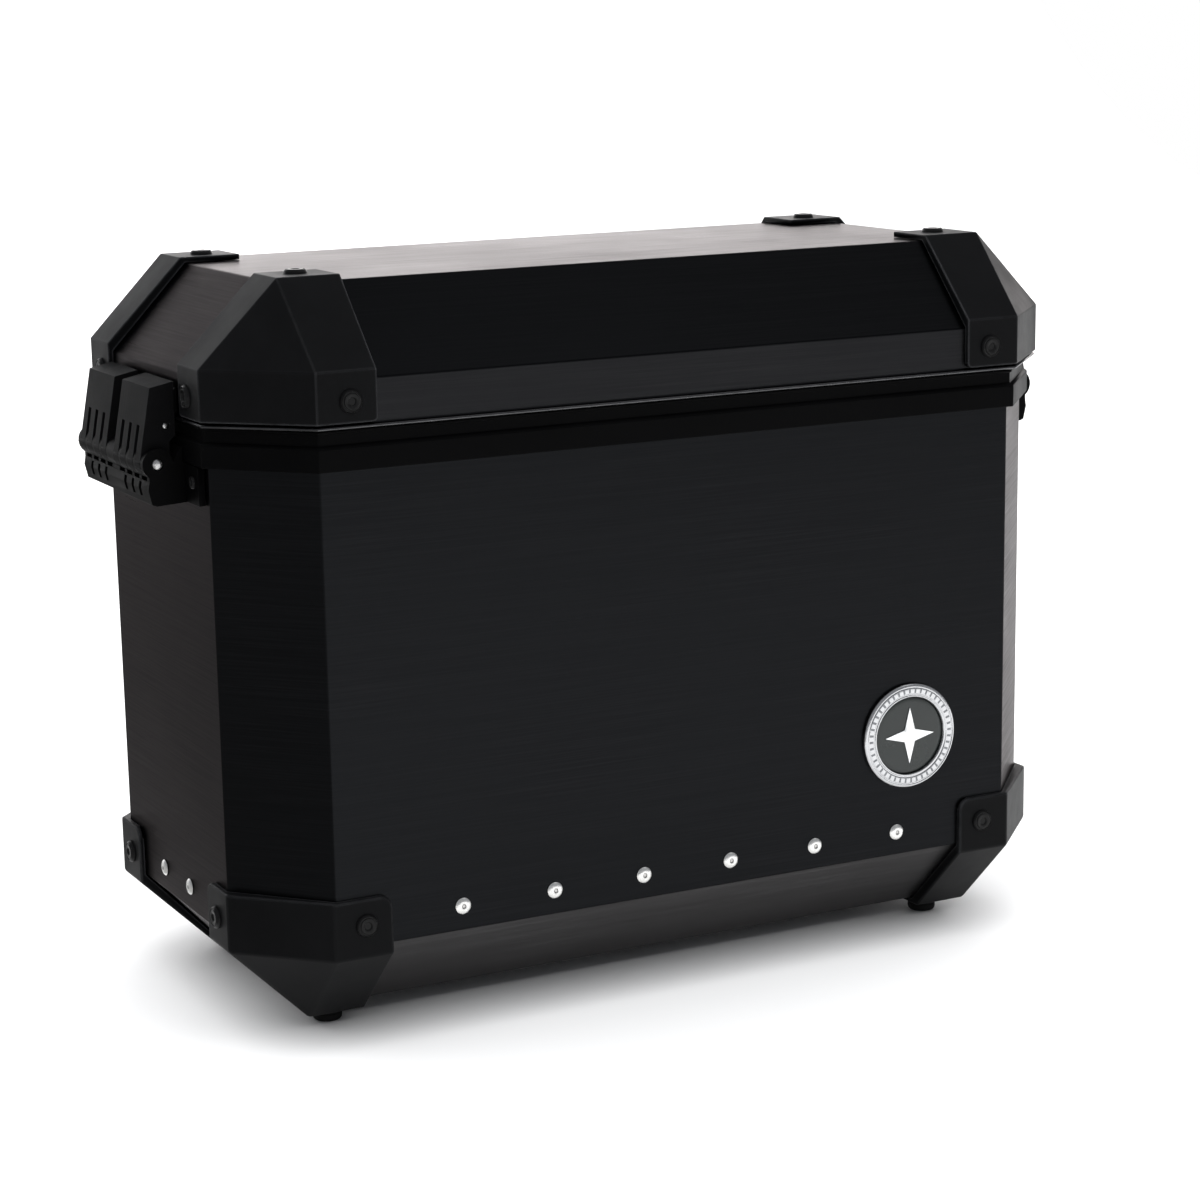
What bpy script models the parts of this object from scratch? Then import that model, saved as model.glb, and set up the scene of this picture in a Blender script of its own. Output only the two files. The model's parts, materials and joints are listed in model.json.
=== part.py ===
"""Hard aluminium motorcycle side case: octagonal sheet-metal body, hipped bottom and lift-off lid,
moulded corner guards, and a pair of hinged clamp levers on each end.

Blender script, metres, +Z up, +X along the long front face, front face towards -Y.
The origin is on the floor, under the middle of the whole object.
"""

import math
from typing import NamedTuple

import bmesh
import bpy
from mathutils import Vector

MM = 0.001
GAP = 0.3 * MM                      # air between touching pieces

# Body: folded sheet walls with cut corners
CASE_LENGTH = 463.8 * MM
CASE_WIDTH = 233.8 * MM
CUT_X = 39.0 * MM                   # corner cut, measured along the length
CUT_Y = 43.0 * MM                   # corner cut, measured along the width
SHEET = 1.5 * MM
WALL_HEIGHT = 249.5 * MM            # from the bottom bend to the wall's top edge

# Bottom pan: slanted sides, flat floor and a flange riveted inside the walls
PAN_RISE = 42.0 * MM
FLANGE_HEIGHT = 22.0 * MM

# Rim frame: moulded ring that grips the top edge of the walls
RIM_THICK = 3.5 * MM                # thick lower skirt outside the wall
RIM_WAIST = 1.3 * MM                # thinner band above the skirt
RIM_DEPTH = 19.3 * MM               # from the rim's top to the skirt's lower edge
RIM_SKIRT = 12.2 * MM               # height of the thick skirt
RIM_CAP = 3.0 * MM
RIM_INNER = 2.5 * MM                # leg inside the wall
RIM_UPSTAND = 5.2 * MM              # sealing lip inside the lid

# Lid: folded sheet with a vertical band, slanted sides and a flat top
LID_OVERHANG = 2.6 * MM
LID_SQUARING = 4.1 * MM             # the lid's corner cut is this much shorter along the width
LID_BAND = 23.2 * MM
LID_RISE = 42.0 * MM
LIP_REACH = 2.4 * MM
LIP_HEIGHT = 1.8 * MM
SEAL_WIDTH = 6.5 * MM
SEAL_HEIGHT = 5.0 * MM

# Corner guards
GUARD_WALL = 3.0 * MM
GUARD_REACH_X = 30.5 * MM           # how far a guard runs from the corner's bend along the length
GUARD_REACH_Y = 28.0 * MM           # and along the width
GUARD_BEND_LIFT = 4.3 * MM          # the guard's bend stands this far beyond the metal's bend
GUARD_EDGE = 2.0 * MM               # rounding of the guard's outer edges
LID_GUARD_CORNER = 2.5 * MM         # rounding of a lid guard's free lower corners
BASE_GUARD_CORNER = 6.0 * MM        # and of a lower guard's free upper corners
LID_GUARD_INSET = 40.5 * MM         # slanted length of a lid guard, seen from above
LID_GUARD_LIFT = 2.8 * MM           # from the lid's lower edge to its guards' lower edge
BASE_GUARD_RISE = 25.0 * MM         # from the bottom bend to the lower guards' top edge
BASE_GUARD_SQUARING = 4.6 * MM
BASE_GUARD_FILL = 0.6 * MM
FOOT_HEIGHT = 8.0 * MM
FOOT_RADIUS = 7.5 * MM
FOOT_INSET = 16.0 * MM              # foot's centre, from the lower guard's flat corner

# Rivets through the wall and the pan's flange
RIVET_RISE = 12.5 * MM              # above the bottom bend
RIVET_HEAD = 4.0 * MM
RIVET_SHANK = 1.9 * MM
RIVET_DOME = 1.3 * MM
RIVET_PITCH_LONG = 50.4 * MM
RIVETS_LONG = 6
RIVET_PITCH_END = 38.0 * MM
RIVETS_END = 2

# Round badge low on the front, towards the right
BADGE_X = 133.0 * MM
BADGE_Z = 117.4 * MM
BADGE_RADIUS = 28.0 * MM
BADGE_RIM = 7.4 * MM
BADGE_HEIGHT = 2.4 * MM
BADGE_FLOOR = 1.0 * MM
EMBLEM_RADIUS = 15.5 * MM
EMBLEM_HEIGHT = 0.8 * MM

# Rack pucks on the back wall
PUCK_RADIUS = 15.0 * MM
PUCK_NECK = 10.0 * MM
PUCK_HEIGHT = 13.0 * MM
PUCK_SPREAD = 260.0 * MM
PUCK_LOW_RISE = 39.0 * MM           # lower row above the bottom bend
PUCK_HIGH_DROP = 60.5 * MM          # upper row below the wall's top edge

# Clamp levers on each end. "Out" is the distance outward from the end wall's face.
PIN_OUT = 16.7 * MM
PIN_DROP = 19.6 * MM                # hinge pin below the rim's top
PIN_RADIUS = 2.6 * MM
KNUCKLE = 7.65 * MM
LEVER_WIDTH = 40.0 * MM
LEVER_SPACING = 12.0 * MM           # between the two levers of a pair
LEVER_BACK_OUT = 5.8 * MM
LEVER_TOP_OUT = 17.7 * MM
LEVER_TOP_RISE = 36.3 * MM          # outer top edge above the pin
LEVER_CROWN = 2.4 * MM              # the top slopes up this much towards the lid
LEVER_WALL = 3.2 * MM
LEVER_SLOTS = 3
SLOT_WIDTH = 4.0 * MM
BASE_CHEEK = 3.6 * MM
BASE_DROP = 20.2 * MM               # base's lower face below the pin
BASE_WING = 69.0 * MM               # half width of the base's wall plate
HOOK_WIDTH = 18.0 * MM
HOOK_PIN_OUT = 10.5 * MM
HOOK_PIN_RISE = 17.6 * MM           # above the hinge pin
HOOK_PIN_RADIUS = 1.5 * MM
HOOK_EYE = 3.0 * MM
HOOK_BAR = 2.2 * MM
HOOK_LENGTH = 12.2 * MM
KEEPER_THICK = 2.0 * MM
KEEPER_HALF = 42.0 * MM
KEEPER_RISE = 14.9 * MM             # keeper's top above the lid's lower edge

# Resolution of round pieces
FINE = 32
MEDIUM = 20
COARSE = 12
CORNER_STEPS = 4


class Plan(NamedTuple):
    """An octagon seen from above: a rectangle with its corners cut."""
    half_x: float
    half_y: float
    cut_x: float
    cut_y: float

    def grown(self, distance):
        """The same octagon with every side moved outward."""
        slope = math.hypot(self.cut_x, self.cut_y)
        return Plan(self.half_x + distance, self.half_y + distance,
                    self.cut_x + distance * (self.cut_x + self.cut_y - slope) / self.cut_y,
                    self.cut_y + distance * (self.cut_x + self.cut_y - slope) / self.cut_x)

    def squared(self, less_x, less_y):
        return self._replace(cut_x=self.cut_x - less_x, cut_y=self.cut_y - less_y)

    def loop(self, z):
        """Eight points, anticlockwise seen from above."""
        near_x = self.half_x - self.cut_x
        near_y = self.half_y - self.cut_y
        quarter = [(self.half_x, near_y), (near_x, self.half_y)]
        points = [(x, y) for x, y in quarter]
        points += [(-x, y) for x, y in reversed(quarter)]
        points += [(-x, -y) for x, y in quarter]
        points += [(x, -y) for x, y in reversed(quarter)]
        return [(x, y, z) for x, y in points]

    def peak(self, inset_x, inset_y, z):
        """The flat above slanted sides: a rectangle, each corner given twice."""
        x = self.half_x - inset_x
        y = self.half_y - inset_y
        return [(x, y, z)] * 2 + [(-x, y, z)] * 2 + [(-x, -y, z)] * 2 + [(x, -y, z)] * 2


# Plans and levels that the pieces share
WALL_PLAN = Plan(CASE_LENGTH / 2, CASE_WIDTH / 2, CUT_X, CUT_Y)
LID_PLAN = WALL_PLAN.grown(LID_OVERHANG).squared(0, LID_SQUARING)
LID_GUARD_PLAN = LID_PLAN.grown(GUARD_WALL)
BASE_GUARD_PLAN = WALL_PLAN.grown(GUARD_WALL).squared(BASE_GUARD_FILL, BASE_GUARD_SQUARING)
FLOOR_Z = FOOT_HEIGHT + GUARD_WALL
BEND_Z = FLOOR_Z + PAN_RISE
WALL_TOP = BEND_Z + WALL_HEIGHT
RIM_TOP = WALL_TOP + GAP + RIM_CAP
LID_Z = RIM_TOP + GAP
LID_BEND = LID_Z + LID_BAND
LID_TOP = LID_BEND + LID_RISE
PIN_Z = RIM_TOP - PIN_DROP
PIN_X = WALL_PLAN.half_x + PIN_OUT
REACH_BACK = WALL_PLAN.half_y + GAP + PUCK_HEIGHT
REACH_FRONT = LID_GUARD_PLAN.half_y
CENTRE_SHIFT = (REACH_FRONT - REACH_BACK) / 2


def clear_scene():
    for item in list(bpy.data.objects):
        bpy.data.objects.remove(item, do_unlink=True)


def material(name, colour, roughness, metallic):
    made = bpy.data.materials.new(name)
    made.use_nodes = True
    shader = made.node_tree.nodes["Principled BSDF"]
    shader.inputs["Base Color"].default_value = (*colour, 1.0)
    shader.inputs["Roughness"].default_value = roughness
    shader.inputs["Metallic"].default_value = metallic
    made.diffuse_color = (*colour, 1.0)
    return made


def make_materials():
    return {
        "sheet": material("black_anodised_sheet", (0.012, 0.013, 0.016), 0.38, 0.9),
        "pan": material("dark_anodised_pan", (0.02, 0.02, 0.022), 0.42, 0.9),
        "guard": material("guard_plastic", (0.012, 0.012, 0.013), 0.5, 0.0),
        "rim": material("rim_plastic", (0.006, 0.006, 0.007), 0.55, 0.0),
        "lever": material("lever_plastic", (0.02, 0.02, 0.021), 0.45, 0.0),
        "rubber": material("rubber", (0.01, 0.01, 0.01), 0.8, 0.0),
        "rivet": material("bright_rivet", (0.8, 0.8, 0.78), 0.25, 1.0),
        "steel": material("plated_steel", (0.6, 0.6, 0.6), 0.3, 1.0),
        "badge": material("polished_badge", (0.82, 0.83, 0.84), 0.2, 1.0),
        "badge_floor": material("badge_floor", (0.02, 0.03, 0.03), 0.4, 0.0),
        "emblem": material("emblem", (0.85, 0.86, 0.87), 0.25, 1.0),
    }


def finish(name, mesh_data, finish_material, parent, smooth_angle=None):
    """Turns a bmesh into a named object under the case's empty."""
    bmesh.ops.remove_doubles(mesh_data, verts=mesh_data.verts, dist=1e-6)
    bmesh.ops.recalc_face_normals(mesh_data, faces=mesh_data.faces)
    mesh = bpy.data.meshes.new(name)
    mesh_data.to_mesh(mesh)
    mesh_data.free()
    if smooth_angle is not None:
        mesh.shade_smooth()
        mesh.set_sharp_from_angle(angle=math.radians(smooth_angle))
    if finish_material is not None:
        mesh.materials.append(finish_material)
    made = bpy.data.objects.new(name, mesh)
    bpy.context.scene.collection.objects.link(made)
    made.parent = parent
    return made


def place_at(item, location):
    """Puts an object's origin at a point, leaving its surface where it is."""
    offset = Vector(location)
    for vertex in item.data.vertices:
        vertex.co -= offset
    item.location = offset
    return item


def bridge(mesh_data, lower, upper):
    count = len(lower)
    for index in range(count):
        after = (index + 1) % count
        mesh_data.faces.new((lower[index], lower[after], upper[after], upper[index]))


def loft(name, loops, finish_material, parent, closed=False, smooth_angle=None):
    """Skins a row of loops: capped at both ends, or closed round into a ring."""
    mesh_data = bmesh.new()
    rings = [[mesh_data.verts.new(point) for point in loop] for loop in loops]
    for lower, upper in zip(rings, rings[1:]):
        bridge(mesh_data, lower, upper)
    if closed:
        bridge(mesh_data, rings[-1], rings[0])
    else:
        mesh_data.faces.new(rings[0])
        mesh_data.faces.new(rings[-1])
    return finish(name, mesh_data, finish_material, parent, smooth_angle)


def ring_of(name, plan, profile, finish_material, parent):
    """Sweeps a closed profile of (distance outward, height) round a plan."""
    loops = [plan.grown(out).loop(z) for out, z in profile]
    return loft(name, loops, finish_material, parent, closed=True)


def arc(centre, radius, start, end, steps):
    """Points on an arc in a plane, angles in degrees."""
    points = []
    for step in range(steps + 1):
        angle = math.radians(start + (end - start) * step / steps)
        points.append((centre[0] + radius * math.cos(angle), centre[1] + radius * math.sin(angle)))
    return points


def end_prism(name, side, profiles, finish_material, parent, smooth_angle=None):
    """Extrudes (out, z) outlines along Y on one end; profiles holds (outline, low y, high y)."""
    mesh_data = bmesh.new()
    for outline, low, high in profiles:
        points = [(side * (WALL_PLAN.half_x + out), z) for out, z in outline]
        near = [mesh_data.verts.new((x, low, z)) for x, z in points]
        far = [mesh_data.verts.new((x, high, z)) for x, z in points]
        bridge(mesh_data, near, far)
        mesh_data.faces.new(near)
        mesh_data.faces.new(far)
    return finish(name, mesh_data, finish_material, parent, smooth_angle)


def turned(name, profile, segments, frame, finish_material, parent, smooth_angle=30):
    """Turns (radius, height) points about an axis; frame is (centre, across, across, along)."""
    centre, first, second, along = (Vector(item) for item in frame)
    loops = []
    for radius, height in profile:
        loop = []
        for step in range(segments):
            angle = math.tau * step / segments
            spoke = first * math.cos(angle) + second * math.sin(angle)
            loop.append(tuple(centre + spoke * radius + along * height))
        loops.append(loop)
    return loft(name, loops, finish_material, parent, smooth_angle=smooth_angle)


def cutter(item):
    item.hide_render = True
    item.display_type = "WIRE"
    return item


def combine(item, tool, operation, name):
    change = item.modifiers.new(name, "BOOLEAN")
    change.operation = operation
    change.object = cutter(tool)
    change.solver = "EXACT"
    return item


def slant_offsets(inset, rise, thickness):
    """Where an inner skin's bend and peak lie: drop below the bend, and extra inset at the peak."""
    slope = math.hypot(inset, rise)
    return thickness * (slope - rise) / inset, thickness * (slope - inset) / rise


# Body ------------------------------------------------------------------------------------------

def rivet_places():
    """Name, point on the wall, and outward direction of every rivet."""
    height = BEND_Z + RIVET_RISE
    places = []
    for face, sign in (("front", -1), ("rear", 1)):
        for index in range(RIVETS_LONG):
            x = (index - (RIVETS_LONG - 1) / 2) * RIVET_PITCH_LONG
            places.append((f"rivet_{face}_{index + 1}", (x, sign * WALL_PLAN.half_y, height), (0, sign, 0)))
    for face, sign in (("left", -1), ("right", 1)):
        for index in range(RIVETS_END):
            y = (index - (RIVETS_END - 1) / 2) * RIVET_PITCH_END
            places.append((f"rivet_{face}_{index + 1}", (sign * WALL_PLAN.half_x, y, height), (sign, 0, 0)))
    return places


def axis_frame(point, outward):
    along = Vector(outward)
    second = Vector((0, 0, 1))
    return point, along.cross(second), second, along


def rivet_holes(parent):
    """One cutter with a rod for each rivet, long enough to pass wall and flange."""
    mesh_data = bmesh.new()
    reach = 2 * SHEET + 2 * GAP
    for _, point, outward in rivet_places():
        centre, first, second, along = (Vector(item) for item in axis_frame(point, outward))
        rings = []
        for height in (-reach, reach):
            ring = []
            for step in range(COARSE):
                angle = math.tau * step / COARSE
                spoke = first * math.cos(angle) + second * math.sin(angle)
                ring.append(mesh_data.verts.new(centre + spoke * (RIVET_SHANK + GAP) + along * height))
            rings.append(ring)
        bridge(mesh_data, rings[0], rings[1])
        mesh_data.faces.new(rings[0])
        mesh_data.faces.new(rings[1])
    return finish("cut_rivet_holes", mesh_data, None, parent)


def make_rivets(parent, mats):
    """Domed head outside the wall, and a shank that ends in a bulge inside the flange."""
    buried = 2 * SHEET + 2 * GAP
    bulge = RIVET_SHANK * 1.5
    for name, point, outward in rivet_places():
        profile = [(RIVET_SHANK * 0.7, -buried - bulge), (bulge, -buried - bulge * 0.6),
                   (bulge, -buried), (RIVET_SHANK, -buried), (RIVET_SHANK, GAP),
                   (RIVET_HEAD, GAP), (RIVET_HEAD, GAP + RIVET_DOME * 0.35),
                   (RIVET_HEAD * 0.86, GAP + RIVET_DOME * 0.75), (RIVET_HEAD * 0.5, GAP + RIVET_DOME)]
        turned(name, profile, COARSE, axis_frame(point, outward), mats["rivet"], parent, smooth_angle=50)


def make_body(parent, mats):
    holes = rivet_holes(parent)
    walls = ring_of("body_walls", WALL_PLAN,
                    [(0, BEND_Z), (0, WALL_TOP), (-SHEET, WALL_TOP), (-SHEET, BEND_Z)],
                    mats["sheet"], parent)
    combine(walls, holes, "DIFFERENCE", "rivet_holes")

    outer = WALL_PLAN.grown(-SHEET - GAP)
    inner = outer.grown(-SHEET)
    drop, more = slant_offsets(outer.cut_y, PAN_RISE, SHEET)
    flange_top = BEND_Z + FLANGE_HEIGHT
    loops = [outer.peak(outer.cut_x + more, outer.cut_y + more, FLOOR_Z + SHEET),
             inner.loop(BEND_Z + drop), inner.loop(flange_top), outer.loop(flange_top),
             outer.loop(BEND_Z), outer.peak(outer.cut_x, outer.cut_y, FLOOR_Z)]
    pan = loft("bottom_pan", loops, mats["pan"], parent)
    combine(pan, holes, "DIFFERENCE", "rivet_holes")


def make_rim(parent, mats):
    skirt_low = RIM_TOP - RIM_DEPTH
    skirt_top = skirt_low + RIM_SKIRT
    inside = -SHEET - GAP
    profile = [(GAP, skirt_low), (GAP + RIM_THICK, skirt_low),
               (GAP + RIM_THICK, skirt_top - RIM_WAIST), (GAP + RIM_THICK - RIM_WAIST, skirt_top),
               (GAP + RIM_WAIST, skirt_top), (GAP + RIM_WAIST, RIM_TOP - RIM_CAP / 2),
               (LID_OVERHANG, RIM_TOP - RIM_CAP / 2), (LID_OVERHANG, RIM_TOP), (-SHEET / 2, RIM_TOP),
               (-SHEET, RIM_TOP + RIM_UPSTAND), (inside - RIM_INNER / 2, RIM_TOP + RIM_UPSTAND),
               (inside - RIM_INNER, RIM_TOP), (inside - RIM_INNER, skirt_low), (inside, skirt_low),
               (inside, WALL_TOP + GAP), (GAP, WALL_TOP + GAP)]
    ring_of("rim_frame", WALL_PLAN, profile, mats["rim"], parent)


# Lid -------------------------------------------------------------------------------------------

def make_lid(parent, mats):
    inner = LID_PLAN.grown(-SHEET)
    drop, more = slant_offsets(LID_PLAN.cut_y, LID_RISE, SHEET)
    lip = LID_PLAN.grown(LIP_REACH)
    loops = [LID_PLAN.peak(LID_PLAN.cut_x + more, LID_PLAN.cut_y + more, LID_TOP - SHEET),
             inner.loop(LID_BEND - drop), inner.loop(LID_Z), lip.loop(LID_Z),
             lip.loop(LID_Z + LIP_HEIGHT), LID_PLAN.loop(LID_Z + LIP_HEIGHT),
             LID_PLAN.loop(LID_BEND), LID_PLAN.peak(LID_PLAN.cut_x, LID_PLAN.cut_y, LID_TOP)]
    loft("lid_shell", loops, mats["sheet"], parent)

    seal_low = RIM_TOP + RIM_UPSTAND + GAP
    seal_top = seal_low + SEAL_HEIGHT
    outside = -GAP
    inside = -GAP - SEAL_WIDTH
    ring_of("lid_seal", inner,
            [(outside, seal_low), (outside, seal_top), (inside, seal_top), (inside, seal_low)],
            mats["rubber"], parent)


# Corner guards ---------------------------------------------------------------------------------

def rounded_end(free, radius, beyond):
    """(height, inset) of a block's sides: rounded off towards the free level, straight to beyond."""
    way = 1 if beyond > free else -1
    steps = [(free + way * z, inset) for inset, z in arc((radius, radius), radius, 270, 180, CORNER_STEPS)]
    return steps + [(beyond, 0)]


def corner_block(name, side_x, side_y, low_x, low_y, sides, parent):
    """A block that covers one corner, from (low_x, low_y) outward."""
    far = CASE_LENGTH
    loops = []
    for z, inset in sides:
        x, y = side_x * (low_x + inset), side_y * (low_y + inset)
        loops.append([(x, y, z), (side_x * far, y, z), (side_x * far, side_y * far, z), (x, side_y * far, z)])
    return loft(name, loops, None, parent)


def make_guard_set(prefix, plan, shape, core, sides, parent, mats):
    """Four guards: the whole outer form, cut down to a corner and hollowed by the metal's form."""
    low_x = plan.half_x - plan.cut_x - GUARD_REACH_X
    low_y = plan.half_y - plan.cut_y - GUARD_REACH_Y
    for row, side_y in (("front", -1), ("rear", 1)):
        for end, side_x in (("left", -1), ("right", 1)):
            name = f"{prefix}_{row}_{end}"
            guard = loft(name, shape, mats["guard"], parent)
            room = corner_block(f"cut_{name}", side_x, side_y, low_x, low_y, sides, parent)
            combine(guard, room, "INTERSECT", "corner")
            rounding = guard.modifiers.new("edges", "BEVEL")
            rounding.width = GUARD_EDGE
            rounding.segments = 3
            rounding.limit_method = "ANGLE"
            rounding.angle_limit = math.radians(20)
            combine(guard, core, "DIFFERENCE", "metal")


def make_guards(parent, mats):
    margin = GUARD_WALL + GAP
    low = LID_Z + LID_GUARD_LIFT
    bend = LID_BEND + GUARD_BEND_LIFT
    top = LID_TOP + GUARD_WALL
    shape = [LID_GUARD_PLAN.loop(low), LID_GUARD_PLAN.loop(bend),
             LID_GUARD_PLAN.peak(LID_GUARD_INSET, LID_GUARD_INSET, top)]
    grown = LID_PLAN.grown(GAP)
    core = loft("cut_lid_core", [grown.loop(low - margin), grown.loop(LID_BEND + GAP / 2),
                                 LID_PLAN.peak(LID_PLAN.cut_x - GAP, LID_PLAN.cut_y - GAP, LID_TOP + GAP)],
                None, parent)
    sides = rounded_end(low, LID_GUARD_CORNER, top + margin)
    make_guard_set("lid_guard", LID_GUARD_PLAN, shape, core, sides, parent, mats)

    bend = BEND_Z - GUARD_BEND_LIFT
    top = BEND_Z + BASE_GUARD_RISE
    drop = bend - FOOT_HEIGHT
    plan = BASE_GUARD_PLAN
    shape = [plan.peak(drop, drop, FOOT_HEIGHT), plan.loop(bend), plan.loop(top)]
    grown = WALL_PLAN.grown(GAP)
    core = loft("cut_base_core", [grown.peak(WALL_PLAN.cut_x, WALL_PLAN.cut_y, FLOOR_Z - GAP),
                                  grown.loop(BEND_Z - GAP), grown.loop(top + margin)], None, parent)
    sides = rounded_end(top, BASE_GUARD_CORNER, FOOT_HEIGHT - margin)
    make_guard_set("base_guard", plan, shape, core, sides, parent, mats)


def make_feet(parent, mats):
    drop = BEND_Z - GUARD_BEND_LIFT - FOOT_HEIGHT
    x = BASE_GUARD_PLAN.half_x - drop - FOOT_INSET
    y = BASE_GUARD_PLAN.half_y - drop - FOOT_INSET
    for row, side_y in (("front", -1), ("rear", 1)):
        for end, side_x in (("left", -1), ("right", 1)):
            frame = ((side_x * x, side_y * y, 0), (1, 0, 0), (0, 1, 0), (0, 0, 1))
            profile = [(FOOT_RADIUS * 0.8, 0), (FOOT_RADIUS * 0.93, FOOT_HEIGHT * 0.08),
                       (FOOT_RADIUS, FOOT_HEIGHT * 0.25), (FOOT_RADIUS, FOOT_HEIGHT - GAP)]
            turned(f"foot_{row}_{end}", profile, MEDIUM, frame, mats["rubber"], parent)


# Badge and rack pucks --------------------------------------------------------------------------

def badge_ring_profile():
    inner = BADGE_RADIUS - BADGE_RIM
    return [(inner, 0), (BADGE_RADIUS, 0), (BADGE_RADIUS, BADGE_HEIGHT * 0.5),
            (BADGE_RADIUS - BADGE_HEIGHT * 0.4, BADGE_HEIGHT * 0.9),
            (BADGE_RADIUS - BADGE_RIM * 0.4, BADGE_HEIGHT), (inner + BADGE_HEIGHT * 0.3, BADGE_HEIGHT * 0.9),
            (inner, BADGE_HEIGHT * 0.6)]


def make_badge(parent, mats):
    centre = Vector((BADGE_X, -WALL_PLAN.half_y - GAP, BADGE_Z))
    mesh_data = bmesh.new()
    rings = []
    for radius, height in badge_ring_profile():
        ring = []
        for step in range(FINE):
            angle = math.tau * step / FINE
            offset = Vector((radius * math.cos(angle), -height, radius * math.sin(angle)))
            ring.append(mesh_data.verts.new(centre + offset))
        rings.append(ring)
    for index, ring in enumerate(rings):
        bridge(mesh_data, ring, rings[(index + 1) % len(rings)])
    finish("badge_ring", mesh_data, mats["badge"], parent, smooth_angle=40)

    radius = BADGE_RADIUS - BADGE_RIM - GAP
    frame = (centre, (1, 0, 0), (0, 0, 1), (0, -1, 0))
    turned("badge_disc", [(radius, 0), (radius, BADGE_FLOOR)], FINE, frame, mats["badge_floor"], parent)

    star = []
    for step in range(8):
        angle = math.tau * step / 8
        reach = EMBLEM_RADIUS * (1.0 if step % 2 == 0 else 0.3)
        star.append((reach * math.cos(angle), reach * math.sin(angle)))
    loops = []
    for height, share in ((BADGE_FLOOR + GAP, 1.0), (BADGE_FLOOR + GAP + EMBLEM_HEIGHT, 0.82)):
        loops.append([tuple(centre + Vector((u * share, -height, v * share))) for u, v in star])
    loft("badge_emblem", loops, mats["emblem"], parent)


def make_pucks(parent, mats):
    flange = PUCK_HEIGHT * 0.25
    profile = [(PUCK_RADIUS, 0), (PUCK_RADIUS, flange), (PUCK_NECK, flange),
               (PUCK_NECK, PUCK_HEIGHT - flange), (PUCK_RADIUS * 0.9, PUCK_HEIGHT - flange),
               (PUCK_RADIUS * 0.9, PUCK_HEIGHT - flange / 3), (PUCK_RADIUS * 0.8, PUCK_HEIGHT)]
    rows = (BEND_Z + PUCK_LOW_RISE, WALL_TOP - PUCK_HIGH_DROP)
    for level, z in zip(("lower", "upper"), rows):
        for end, side in (("left", -1), ("right", 1)):
            point = (side * PUCK_SPREAD / 2, WALL_PLAN.half_y + GAP, z)
            turned(f"rack_puck_{level}_{end}", profile, MEDIUM, axis_frame(point, (0, 1, 0)),
                   mats["lever"], parent)


# Latches ---------------------------------------------------------------------------------------

PIN_CENTRE = (PIN_OUT, PIN_Z)
FINGER_WIDTH = (LEVER_WIDTH - LEVER_SLOTS * SLOT_WIDTH) / (LEVER_SLOTS + 1)
LEVER_TOP_Z = PIN_Z + LEVER_TOP_RISE
LEVER_ROOM = KNUCKLE + 1.5 * GAP
SLOT_TOP = PIN_Z + KNUCKLE + 3.6 * MM
WINDOW_TOP = PIN_Z + 17.8 * MM        # top of the slots through the lever's front wall
GROOVE_TOP = PIN_Z - KNUCKLE - 1.6 * MM
GROOVE_LOW = PIN_Z - 16.4 * MM
GROOVE_DEPTH = 5.0 * MM
POCKET_LOW = PIN_Z + 13.8 * MM
POCKET_TOP = LEVER_TOP_Z - 2.0 * MM
HOOK_PIN = (HOOK_PIN_OUT, PIN_Z + HOOK_PIN_RISE)


def lever_start(row):
    """Low y of a lever; row is -1 for the front one and 1 for the rear one."""
    return LEVER_SPACING / 2 if row > 0 else -LEVER_SPACING / 2 - LEVER_WIDTH


def finger_spans(row):
    """(low y, high y) of the lever's knuckle fingers."""
    start = lever_start(row)
    pitch = FINGER_WIDTH + SLOT_WIDTH
    return [(start + index * pitch, start + index * pitch + FINGER_WIDTH) for index in range(LEVER_SLOTS + 1)]


def slot_spans(row):
    """(low y, high y) of the gaps between a lever's fingers."""
    spans = finger_spans(row)
    return [(first[1], second[0]) for first, second in zip(spans, spans[1:])]


def outer_face_out(z):
    """How far out the lever's outer face is at a height: it is tangent to the knuckle."""
    lean = math.radians(tangent_lean())
    foot_out = PIN_OUT + KNUCKLE * math.cos(lean)
    foot_z = PIN_Z + KNUCKLE * math.sin(lean)
    share = (z - foot_z) / (LEVER_TOP_Z - foot_z)
    return foot_out + (LEVER_TOP_OUT - foot_out) * share


def tangent_lean():
    """Angle in degrees, above horizontal, where the outer face leaves the knuckle."""
    across = LEVER_TOP_OUT - PIN_OUT
    reach = math.hypot(across, LEVER_TOP_RISE)
    return math.degrees(math.atan2(LEVER_TOP_RISE, across) - math.acos(KNUCKLE / reach))


def base_outline():
    under_rim = RIM_TOP - RIM_DEPTH - GAP
    in_front = GAP + RIM_THICK + GAP
    foot = PIN_Z - BASE_DROP
    lean = math.degrees(math.asin(4.5 * MM / KNUCKLE)) - 90
    outline = [(GAP, foot + 1.0 * MM), (PIN_OUT + 1.4 * MM, foot), (PIN_OUT + 3.6 * MM, foot + 0.9 * MM),
               (PIN_OUT + 5.2 * MM, PIN_Z - 12.3 * MM), (PIN_OUT + 4.5 * MM, PIN_Z - 8.2 * MM)]
    outline += arc(PIN_CENTRE, KNUCKLE, lean, 180, 14)
    outline += [(in_front + LEVER_WALL, PIN_Z + 4.0 * MM), (in_front, PIN_Z + KNUCKLE),
                (in_front, under_rim), (GAP, under_rim)]
    return outline


def finger_room():
    """Space that a lever's finger turns in: round the pin, and open outward."""
    far = PIN_OUT + 3 * KNUCKLE
    return ([(far, PIN_Z - LEVER_ROOM)] + arc(PIN_CENTRE, LEVER_ROOM, 270, 90, 12)
            + [(far, PIN_Z + LEVER_ROOM)])


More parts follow.
